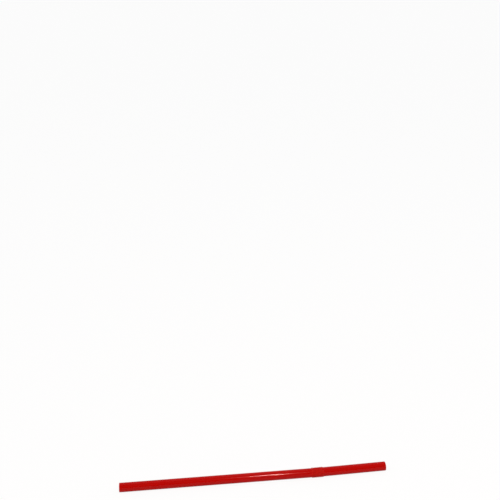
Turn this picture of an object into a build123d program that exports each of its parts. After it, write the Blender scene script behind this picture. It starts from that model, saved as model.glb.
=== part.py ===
import os
from math import asin, atan2, cos, degrees, radians, tan

from build123d import *

# Flexible drinking straw: one thin polypropylene tube with a folded bellows near its mouth end.
# Millimetres. It lies on the plane Z = 0 with the long leg along X and the mouth end towards +X.

# Driving sizes of the tube
overall_length = 180.0
tube_diameter = 6.0
wall = 0.18
long_leg = 128.0

# Driving sizes of the bellows, pushed together as it is sold
pleat_count = 10
pleat_pitch = 0.8
pleat_run = 0.64
crest_rise = 0.35
groove_sink = 0.25
fold_flat = 0.12
bend = 2.3

# Radii, and the share of a pleat's depth at which the tube meets the folds
tube_radius = tube_diameter / 2
crest_radius = tube_radius + crest_rise
root_radius = tube_radius - groove_sink
pleat_depth = crest_rise + groove_sink
tube_share = groove_sink / pleat_depth

# Each crest hangs a little over the groove behind it, so the short flank climbs backwards
pleat_overhang = fold_flat + pleat_run + fold_flat - pleat_pitch
first_root = long_leg - pleat_overhang * tube_share
last_root = first_root + pleat_count * pleat_pitch
bellows_end = last_root + fold_flat + pleat_run * tube_share
bellows_length = bellows_end - long_leg
short_leg = overall_length - bellows_end

# The two flanks that rise from a groove. The zigzag of the outside, moved by fold_shift, is the zigzag of the
# inside, with the same wall left on both flanks.
long_flank = Vector(pleat_run, pleat_depth).normalized()
short_flank = Vector(pleat_overhang, pleat_depth).normalized()
fold_shift = (long_flank + short_flank) * (wall / long_flank.cross(short_flank).length)

# The axis of the straw: straight along the long leg, curved through the bellows, straight to the mouth end
bend_radius = bellows_length / radians(bend)
with BuildLine() as axis:
    long_axis = Line((0, 0), (long_leg, 0))
    bend_axis = JernArc(long_axis @ 1, long_axis % 1, bend_radius, bend)
    short_axis = PolarLine(bend_axis @ 1, short_leg, direction=bend_axis % 1)

# At rest the straw leans from the rim of its long end to the first crest, and it has rolled about its long leg
# until the rim of its mouth end touches the surface too
first_crest = first_root + fold_flat + pleat_run + fold_flat / 2
lean = atan2(crest_rise, first_crest)
mouth_reach = (short_axis @ 1).X
mouth_sway = (short_axis @ 1).Y
roll = asin(min(1, mouth_reach * tan(lean) / mouth_sway))
lying = Pos(-overall_length / 2, 0, tube_radius * cos(lean)) * Rot(Y=-degrees(lean)) * Rot(X=-degrees(roll))
lying_axis = lying * axis.wire()


def fold_plane(along):
    """The plane square to the axis at a distance along it from the long end."""
    centre = lying_axis.position_at(along, position_mode=PositionMode.LENGTH)
    heading = lying_axis.tangent_at(along, position_mode=PositionMode.LENGTH)
    sideways = Vector(0, 0, 1).cross(heading)
    return Plane(centre, x_dir=sideways, z_dir=heading)


def wall_side(radius, shift):
    """Distance along the axis and radius of each circle on one side of the wall, from cut end to cut end."""
    root = root_radius - shift.Y
    crest = root + pleat_depth
    climb_share = (radius - root) / pleat_depth
    circles = [(0, radius), (first_root - shift.X + pleat_overhang * climb_share, radius)]
    for pleat in range(pleat_count):
        groove = first_root - shift.X + pleat * pleat_pitch
        circles.append((groove, root))
        circles.append((groove + fold_flat, root))
        circles.append((groove + fold_flat + pleat_run, crest))
        circles.append((groove + fold_flat + pleat_run + fold_flat, crest))
    groove = last_root - shift.X
    circles.append((groove, root))
    circles.append((groove + fold_flat, root))
    circles.append((groove + fold_flat + pleat_run * climb_share, radius))
    circles.append((overall_length, radius))
    return circles


# The outside of the wall is one body through its circles, and the inside is taken out of it in the same way
with BuildPart() as straw:
    for along, radius in wall_side(tube_radius, Vector(0, 0)):
        with BuildSketch(fold_plane(along)):
            Circle(radius)
    loft(ruled=True)
    for along, radius in wall_side(tube_radius - wall, fold_shift):
        with BuildSketch(fold_plane(along)):
            Circle(radius)
    loft(ruled=True, mode=Mode.SUBTRACT)

os.makedirs("parts", exist_ok=True)
straw.part.label = "straw"
export_step(straw.part, "parts/straw.step")
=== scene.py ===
# %% [markdown]
# # A flexible drinking straw
# The straw is one thin tube of red polypropylene, cut square at both ends, with a short bellows folded
# into it near the mouth end. It lies on a table with its long leg along X. The frame comes first, and the
# box of the CAD model is kept.

# %% Open the frame
from math import asin, atan2, cos, pi, radians, sin, tan

import bmesh
import bpy
from mathutils import Matrix, Vector


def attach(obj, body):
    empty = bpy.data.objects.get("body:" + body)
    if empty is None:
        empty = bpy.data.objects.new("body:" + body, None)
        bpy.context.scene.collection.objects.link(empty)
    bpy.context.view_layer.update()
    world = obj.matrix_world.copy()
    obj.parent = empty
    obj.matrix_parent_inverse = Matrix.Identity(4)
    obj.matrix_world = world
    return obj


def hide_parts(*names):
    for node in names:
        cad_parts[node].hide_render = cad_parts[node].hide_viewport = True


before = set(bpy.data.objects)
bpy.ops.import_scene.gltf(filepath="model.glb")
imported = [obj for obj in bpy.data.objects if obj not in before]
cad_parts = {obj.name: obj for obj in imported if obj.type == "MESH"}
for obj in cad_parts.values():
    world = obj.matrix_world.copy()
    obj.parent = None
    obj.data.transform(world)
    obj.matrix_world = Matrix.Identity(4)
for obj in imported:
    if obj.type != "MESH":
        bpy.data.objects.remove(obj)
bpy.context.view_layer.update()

# %% [markdown]
# # The sizes
# Straws like this are sold by the diameter and the length, here 6 mm by 180 mm. The folds are a fraction
# of a millimetre, and small steps such as bevels are safest at a size of about one, so the straw is drawn
# in millimetres and brought down to metres when its shape is finished.

# %% Sizes of the tube and of the bellows, in millimetres
overall_length = 180.0
tube_radius = 3.0
wall = 0.18
long_leg = 128.0
pleat_count = 10
pleat_pitch = 0.8
pleat_run = 0.64
crest_rise = 0.35
groove_sink = 0.25
fold_flat = 0.12
bend = radians(2.3)
metres = 0.001
print("straw of", overall_length, "mm by", 2 * tube_radius, "mm with", pleat_count, "pleats")

# %% [markdown]
# # The pleats
# A bellows is folded from the tube itself: its wall goes up a long flank, over a narrow crest, and back
# down a short flank that leans under the crest. The inside of the wall is the same zigzag, moved so far
# that the wall is as thick on both flanks. Only that shift has to be worked out, and it comes from the
# two flanks.

# %% Work out the zigzag of the pleats
pleat_depth = crest_rise + groove_sink
overhang = fold_flat + pleat_run + fold_flat - pleat_pitch
long_flank = Vector((pleat_run, pleat_depth)).normalized()
short_flank = Vector((overhang, pleat_depth)).normalized()
fold_shift = (long_flank + short_flank) * (wall / abs(long_flank.cross(short_flank)))

outer_share = groove_sink / pleat_depth
inner_share = (groove_sink - wall + fold_shift.y) / pleat_depth
first_root = long_leg - overhang * outer_share
last_root = first_root + pleat_count * pleat_pitch
bellows_end = last_root + fold_flat + pleat_run * outer_share
print("bellows from", long_leg, "to", round(bellows_end, 3), "mm, pleats", round(pleat_depth, 3), "mm deep")

# %% [markdown]
# # The wall as a line
# The straw is round, so half of its section is enough: the outside of the wall from end to end, the cut,
# and the inside back again. The line is drawn like a walk with a pen. Each step pulls a new corner out of
# the last one and moves it on. Next to each end of a straight run stands a holding corner, which keeps
# the soft shading of the folds and of the cuts from running out along the tube.

# %% Pull the line of the wall, corner by corner
hold = 0.25
line = bmesh.new()
fold_mark = line.verts.layers.float.new("fold")
cut_mark = line.verts.layers.float.new("cut")
straight_place = line.verts.layers.float_vector.new("straight_place")


def walk(start, steps):
    """Draws a line from a corner, in steps of so far along and so far outward, and returns its corners."""
    corners = [start]
    for along, outward in steps:
        pulled = bmesh.ops.extrude_vert_indiv(line, verts=[corners[-1]])["verts"]
        bmesh.ops.translate(line, verts=pulled, vec=(along, 0, outward))
        corners += pulled
    return corners


def straight(length, way):
    """The steps of a straight run with a holding corner near each end, forwards or backwards."""
    return [(way * hold, 0), (way * (length - hold - hold), 0), (way * hold, 0)]


pleat = [(fold_flat, 0), (pleat_run, pleat_depth), (fold_flat, 0), (-overhang, -pleat_depth)]
pleat_back = [(-along, -outward) for along, outward in reversed(pleat)]

start = bmesh.ops.create_vert(line, co=(0, 0, tube_radius))["vert"][0]
outside = walk(
    start,
    straight(long_leg, 1)
    + [(-overhang * outer_share, -pleat_depth * outer_share)]
    + pleat * pleat_count
    + [(fold_flat, 0), (pleat_run * outer_share, pleat_depth * outer_share)]
    + straight(overall_length - bellows_end, 1),
)
inner_long = first_root - fold_shift.x + overhang * inner_share
inner_short = overall_length - (last_root - fold_shift.x + fold_flat + pleat_run * inner_share)
mouth_cut = walk(outside[-1], [(0, -wall)])
inside = walk(
    mouth_cut[-1],
    straight(inner_short, -1)
    + [(-pleat_run * inner_share, -pleat_depth * inner_share), (-fold_flat, 0)]
    + pleat_back * pleat_count
    + [(overhang * inner_share, pleat_depth * inner_share)]
    + straight(inner_long, -1),
)
line.edges.new((inside[-1], start))
print("wall line of", len(line.verts), "corners, back at", [round(place, 4) for place in inside[-1].co])

# %% [markdown]
# # Soft folds and clean cuts
# Warm plastic doesn't fold to a sharp edge, and a blade leaves a cut with hardly any. A bevel on the
# corners of the line rounds both, before there is any surface to bevel. The corners are marked first, the
# crests most, because their plastic is stretched most. A bevel hands the marks on to the new corners, and
# the material finds the folds and the cuts by them later.

# %% Mark the folds and the cuts
groove_share = 0.45
ends = len(straight(long_leg, 1))
folds = outside[ends:-ends] + inside[ends:-ends]
cuts = [outside[0], outside[-1], inside[0], inside[-1]]
for side in (outside[ends:-ends], inside[ends:-ends]):
    groove = min(corner.co.z for corner in side)
    for corner in side:
        climb_share = (corner.co.z - groove) / pleat_depth
        corner[fold_mark] = groove_share + (1 - groove_share) * climb_share
for corner in cuts:
    corner[cut_mark] = 1.0
print(len(folds), "folds and", len(cuts), "cut corners marked")

# %% Round the folds and the cuts
fold_round = 0.055
cut_round = 0.03
round_steps = 3
for corners, size in ((folds, fold_round), (cuts, cut_round)):
    bmesh.ops.bevel(
        line,
        geom=corners,
        offset=size,
        offset_type="OFFSET",
        segments=round_steps,
        profile=0.5,
        affect="VERTICES",
        material=-1,
    )
print("wall line of", len(line.verts), "corners after the rounding")

# %% [markdown]
# # The tube
# The tube comes out of a round die, so a full turn of the wall's line about the axis makes it, outside,
# inside and both cuts at once. The turn closes on itself, and then the faces are told which way is out.

# %% Turn the line about the axis
turn_steps = 96
merge_distance = 0.002
bmesh.ops.spin(
    line,
    geom=line.verts[:] + line.edges[:],
    cent=(0, 0, 0),
    axis=(1, 0, 0),
    angle=2 * pi,
    steps=turn_steps,
    use_merge=True,
)
bmesh.ops.remove_doubles(line, verts=line.verts[:], dist=merge_distance)
bmesh.ops.recalc_face_normals(line, faces=line.faces[:])
for face in line.faces:
    face.smooth = True
open_edges = [edge for edge in line.edges if len(edge.link_faces) != 2]
print("tube of", len(line.faces), "faces,", len(open_edges), "open edges")

# %% [markdown]
# # Straight places for the finish
# The lines that the die leaves run along the tube, and they bend with it. So each point keeps its place
# on the still straight tube as an attribute of its own, and the material reads that instead of the place
# in space.

# %% Keep the straight places
for point in line.verts:
    point[straight_place] = point.co
print(len(line.verts), "straight places kept")

# %% [markdown]
# # The bend
# A bellows gives a little at every pleat. Beginning with the last pleat, everything beyond a pleat is
# turned by that pleat's share of the bend, while all before it is still straight, so each turn is about a
# plain upright line through the axis.

# %% Bend the bellows, pleat by pleat
bellows_length = bellows_end - long_leg
middle_share = 0.5
turn = Matrix.Rotation(bend / pleat_count, 3, "Z")
for number in reversed(range(pleat_count)):
    hinge = long_leg + bellows_length * (number + middle_share) / pleat_count
    beyond = [point for point in line.verts if point.co.x > hinge]
    bmesh.ops.rotate(line, verts=beyond, cent=(hinge, 0, 0), matrix=turn)
print("mouth end bent", round(max(point.co.y for point in line.verts) - tube_radius, 3), "mm aside")

# %% [markdown]
# # The rest on the table
# A straw that is let go lies on three places: the rim of its long end, the first crest of the bellows and
# the rim of its mouth end. So the long leg leans up to the crest, and the whole straw has rolled until
# the bent mouth end is down too. Both angles follow from the sizes.

# %% Lay the straw down and bring it to metres
bend_radius = bellows_length / bend
short_leg = overall_length - bellows_end
mouth_reach = long_leg + bend_radius * sin(bend) + short_leg * cos(bend)
mouth_sway = bend_radius * (1 - cos(bend)) + short_leg * sin(bend)
lean = atan2(crest_rise, first_root + fold_flat + pleat_run + fold_flat / 2)
roll = asin(mouth_reach * tan(lean) / mouth_sway)
bmesh.ops.rotate(line, verts=line.verts[:], cent=(0, 0, 0), matrix=Matrix.Rotation(-roll, 3, "X"))
bmesh.ops.rotate(line, verts=line.verts[:], cent=(0, 0, 0), matrix=Matrix.Rotation(-lean, 3, "Y"))
bmesh.ops.translate(line, verts=line.verts[:], vec=(-overall_length / 2, 0, tube_radius * cos(lean)))
bmesh.ops.scale(line, verts=line.verts[:], vec=(metres, metres, metres))
print("leaned by", round(lean / radians(1), 3), "and rolled by", round(roll / radians(1), 2), "degrees")

# %% [markdown]
# # The straw as an object
# The finished mesh becomes an object at the origin, with its place in its mesh, as the CAD node has it.
# It moves with the only body, and it stands for the CAD straw, which is hidden.

# %% Make the object that stands for the CAD straw
straw_mesh = bpy.data.meshes.new("straw_tube")
line.to_mesh(straw_mesh)
line.free()
straw = bpy.data.objects.new("straw_tube", straw_mesh)
bpy.context.scene.collection.objects.link(straw)
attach(straw, "root")
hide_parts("straw")
print("straw_tube,", len(straw_mesh.vertices), "points")

# %% [markdown]
# # Red polypropylene
# The straw is coloured all through. The plastic itself is rather dull, and the gloss is a thin skin on
# it, where the die smoothed it. Faint lines of the die run along it, and it is paler and duller where the
# folds stretched it and the blade cut it. One Principled shader is enough, with its coat as the skin, and
# what differs from place to place reaches it through nodes.

# %% Start the plastic
plastic_ior = 1.49
dull_shine_share = 0.015
skin_roughness = 0.09
plastic = bpy.data.materials.new("red_polypropylene")
plastic.use_nodes = True
nodes = plastic.node_tree.nodes
links = plastic.node_tree.links
skin = nodes["Principled BSDF"]
skin.inputs["IOR"].default_value = plastic_ior
skin.inputs["Specular IOR Level"].default_value = dull_shine_share
skin.inputs["Coat IOR"].default_value = plastic_ior
skin.inputs["Coat Roughness"].default_value = skin_roughness
straw_mesh.materials.append(plastic)


def attribute(name):
    """A node that reads one of the straw's own attributes."""
    reader = nodes.new("ShaderNodeAttribute")
    reader.attribute_name = name
    return reader


fold = attribute("fold").outputs["Fac"]
cut = attribute("cut").outputs["Fac"]
print(plastic.name, "on", straw.name)

# %% [markdown]
# # Lines of the die
# The die drags fine lines along the tube, a fraction of a millimetre apart and many centimetres long.
# Noise that is drawn out along the tube looks like that. It reads the straight places, so the lines
# follow the bend.

# %% Draw the lines
line_stretch_shares = (0.02, 3.0, 3.0)
line_scale = 1.0
line_detail = 3.0
stretch = nodes.new("ShaderNodeVectorMath")
stretch.operation = "MULTIPLY"
stretch.inputs[1].default_value = line_stretch_shares
links.new(attribute("straight_place").outputs["Vector"], stretch.inputs[0])
die_lines = nodes.new("ShaderNodeTexNoise")
die_lines.inputs["Scale"].default_value = line_scale
die_lines.inputs["Detail"].default_value = line_detail
links.new(stretch.outputs["Vector"], die_lines.inputs["Vector"])
lines = die_lines.outputs["Fac"]
print("lines about", round(1 / line_stretch_shares[1], 2), "mm apart")

# %% [markdown]
# # Colour, gloss and relief
# The lines are a shade darker than the tube, the folds and the cuts paler. The lines and the folds also
# have less of the glossy skin and a rougher plastic under it, and the lines stand out by a hair.

# %% Colour the tube, its folds and its cuts
red = (0.455, 0.0018, 0.0006, 1.0)
red_line = (0.325, 0.0012, 0.0004, 1.0)
red_fold = (0.52, 0.012, 0.008, 1.0)
red_cut = (0.51, 0.015, 0.012, 1.0)


def mix_colour(amount, first, second):
    """The output of a node that goes from the first colour to the second by an amount."""
    mixer = nodes.new("ShaderNodeMix")
    mixer.data_type = "RGBA"
    links.new(amount, mixer.inputs["Factor"])
    # A Mix node keeps its two colours on sockets 6 and 7 and puts out the mixed one on socket 2
    for socket, colour in ((mixer.inputs[6], first), (mixer.inputs[7], second)):
        if isinstance(colour, tuple):
            socket.default_value = colour
        else:
            links.new(colour, socket)
    return mixer.outputs[2]


lined = mix_colour(lines, red, red_line)
folded = mix_colour(fold, lined, red_fold)
links.new(mix_colour(cut, folded, red_cut), skin.inputs["Base Color"])
print("red", red[:3], "to", red_fold[:3], "on the crests")

# %% Gloss on the tube, less on the lines and the folds
tube_gloss_share = 0.22
line_gloss_share = 0.11
fold_gloss_share = 0.08
tube_roughness = 0.40
line_roughness = 0.50
fold_roughness = 0.60


def between(amount, first, second):
    """A node that goes from the first value to the second by an amount."""
    ranger = nodes.new("ShaderNodeMapRange")
    links.new(amount, ranger.inputs["Value"])
    for socket, value in ((ranger.inputs["To Min"], first), (ranger.inputs["To Max"], second)):
        if isinstance(value, float):
            socket.default_value = value
        else:
            links.new(value, socket)
    return ranger.outputs["Result"]


lined_gloss = between(lines, tube_gloss_share, line_gloss_share)
links.new(between(fold, lined_gloss, fold_gloss_share), skin.inputs["Coat Weight"])
lined_roughness = between(lines, tube_roughness, line_roughness)
links.new(between(fold, lined_roughness, fold_roughness), skin.inputs["Roughness"])
print("gloss", tube_gloss_share, "on the tube,", fold_gloss_share, "on the crests")

# %% Raise the lines
line_height = 0.00002
line_strength_share = 0.25
relief = nodes.new("ShaderNodeBump")
relief.inputs["Strength"].default_value = line_strength_share
relief.inputs["Distance"].default_value = line_height
links.new(lines, relief.inputs["Height"])
links.new(relief.outputs["Normal"], skin.inputs["Normal"])
print(plastic.name, "has", len(nodes), "nodes")

# %% [markdown]
# # The table
# The straw lies on a white table that runs on to the horizon. A plain white paint alone would come out
# grey where less light falls, so most of its white is a glow that only eyes and mirrors see: it whitens
# the picture and lights nothing. The rest is matt paint, which takes the soft shadow under the straw.

# %% White table
table_half = 40.0
plate = bmesh.new()
bmesh.ops.create_grid(plate, x_segments=1, y_segments=1, size=table_half)
table_mesh = bpy.data.meshes.new("table")
plate.to_mesh(table_mesh)
plate.free()
table = bpy.data.objects.new("table", table_mesh)
bpy.context.scene.collection.objects.link(table)
print("table of", 2 * table_half, "m")

# %% Paint the table
table_white = (0.80, 0.80, 0.80, 1.0)
table_roughness = 0.9
paint = bpy.data.materials.new("white_paint")
paint.use_nodes = True
paint_nodes = paint.node_tree.nodes
paint_links = paint.node_tree.links
matt = paint_nodes["Principled BSDF"]
matt.inputs["Base Color"].default_value = table_white
matt.inputs["Roughness"].default_value = table_roughness
matt.inputs["Specular IOR Level"].default_value = 0.0
table_mesh.materials.append(paint)
print("white_paint on", table.name)

# %% Add the glow that eyes and mirrors see
glow_share = 0.92
glow = paint_nodes.new("ShaderNodeEmission")
ray = paint_nodes.new("ShaderNodeLightPath")
seen = ray.outputs["Is Camera Ray"]
for kind in ("Is Glossy Ray", "Is Transmission Ray"):
    either = paint_nodes.new("ShaderNodeMath")
    either.operation = "MAXIMUM"
    paint_links.new(seen, either.inputs[0])
    paint_links.new(ray.outputs[kind], either.inputs[1])
    seen = either.outputs["Value"]
amount = paint_nodes.new("ShaderNodeMath")
amount.operation = "MULTIPLY"
amount.inputs[1].default_value = glow_share
paint_links.new(seen, amount.inputs[0])
blend = paint_nodes.new("ShaderNodeMixShader")
paint_links.new(amount.outputs["Value"], blend.inputs["Fac"])
paint_links.new(matt.outputs["BSDF"], blend.inputs[1])
paint_links.new(glow.outputs["Emission"], blend.inputs[2])
paint_links.new(blend.outputs["Shader"], paint_nodes["Material Output"].inputs["Surface"])
print("white_paint has", len(paint_nodes), "nodes")

# %% [markdown]
# # The room
# In a small studio a white sheet hangs behind the table and rises overhead, a low white wall goes all
# round, and the camera's side is dim. The white fills the shade, and the dim side is what the front of
# the plastic mirrors, so its red stays deep. The world makes this room: its brightness follows the
# direction that a ray looks in.

# %% Start the room
sheet_white = (1.0, 1.0, 1.0, 1.0)
world = bpy.data.worlds.new("studio_room")
world.use_nodes = True
room_nodes = world.node_tree.nodes
room_links = world.node_tree.links
room_nodes["Background"].inputs["Color"].default_value = sheet_white
bpy.context.scene.world = world
print(world.name, "started")

# %% White sheet, low wall and dim front
room_white = 1.0
room_dim = 0.05
wall_shares = (0.10, 0.35)
sheet_shares = (0.6, -0.3)
looking = room_nodes.new("ShaderNodeTexCoord")
parts = room_nodes.new("ShaderNodeSeparateXYZ")
room_links.new(looking.outputs["Generated"], parts.inputs["Vector"])


def away(part, shares):
    """A value that goes from 0 on a white part of the room to 1 away from it."""
    fading = room_nodes.new("ShaderNodeMapRange")
    fading.interpolation_type = "SMOOTHSTEP"
    fading.inputs["From Min"].default_value = shares[0]
    fading.inputs["From Max"].default_value = shares[1]
    room_links.new(parts.outputs[part], fading.inputs["Value"])
    return fading.outputs["Result"]


both = room_nodes.new("ShaderNodeMath")
both.operation = "MULTIPLY"
room_links.new(away("Z", wall_shares), both.inputs[0])
room_links.new(away("Y", sheet_shares), both.inputs[1])
level = room_nodes.new("ShaderNodeMapRange")
level.inputs["To Min"].default_value = room_white
level.inputs["To Max"].default_value = room_dim
room_links.new(both.outputs["Value"], level.inputs["Value"])
room_links.new(level.outputs["Result"], room_nodes["Background"].inputs["Strength"])
print(world.name, "from", room_dim, "to", room_white)

# %% [markdown]
# # The lamps
# A shiny tube mirrors every broad lamp that stands across from it as a line along its whole length. So
# the two broad soft lamps stand beyond its two ends: from in front their shine doesn't show, and in a
# slanting view it runs along the top of the tube. A third lamp, narrow, a little warm and high in front,
# shades the round of the tube and draws the one short bright streak on the long leg.

# %% Two broad lamps
broad_strength = 0.62
broad_angle = radians(28)
broad_way = Vector((0.72, -0.15, 0.68))
for name, side in (("left_lamp", -1), ("right_lamp", 1)):
    broad_data = bpy.data.lights.new(name, "SUN")
    broad_data.energy = broad_strength
    broad_data.angle = broad_angle
    broad = bpy.data.objects.new(name, broad_data)
    way = Vector((side * broad_way.x, broad_way.y, broad_way.z))
    broad.rotation_euler = way.to_track_quat("Z", "Y").to_euler()
    bpy.context.scene.collection.objects.link(broad)
    print(name, "shines from", [round(share, 2) for share in way])

# %% The narrow lamp
streak_aim = Vector((0.009, 0.0, 0.006))
streak_way = Vector((0.1170, -0.5363, 0.8358))
streak_distance = 1.2
streak_width = 0.048
streak_height = 0.28
streak_power = 8.4
streak_warmth = (1.0, 0.80, 0.72)
streak_data = bpy.data.lights.new("streak_lamp", "AREA")
streak_data.shape = "RECTANGLE"
streak_data.size = streak_width
streak_data.size_y = streak_height
streak_data.energy = streak_power
streak_data.color = streak_warmth
streak_lamp = bpy.data.objects.new("streak_lamp", streak_data)
streak_lamp.location = streak_aim + streak_way.normalized() * streak_distance
streak_lamp.rotation_euler = streak_way.to_track_quat("Z", "Y").to_euler()
bpy.context.scene.collection.objects.link(streak_lamp)
print("streak_lamp at", [round(place, 3) for place in streak_lamp.location])

# %% [markdown]
# # The camera
# The straw is seen from in front and from above its long leg, a little left of the middle. The lens is a
# plain one of about 50 mm, and the straw lies low in the picture.

# %% Set the camera
sensor_width = 36.0
lens_length = 50.4
camera_place = (-0.0477, -0.38474, 0.30942)
camera_tilt = radians(69.674)
camera_heading = radians(-6.549)
camera_data = bpy.data.cameras.new("camera")
camera_data.sensor_width = sensor_width
camera_data.lens = lens_length
camera = bpy.data.objects.new("camera", camera_data)
camera.location = camera_place
camera.rotation_euler = (camera_tilt, 0, camera_heading)
bpy.context.scene.collection.objects.link(camera)
bpy.context.scene.camera = camera
bpy.context.scene.view_settings.view_transform = "Standard"
print("camera", round(camera.location.length, 3), "m from the middle of the straw")
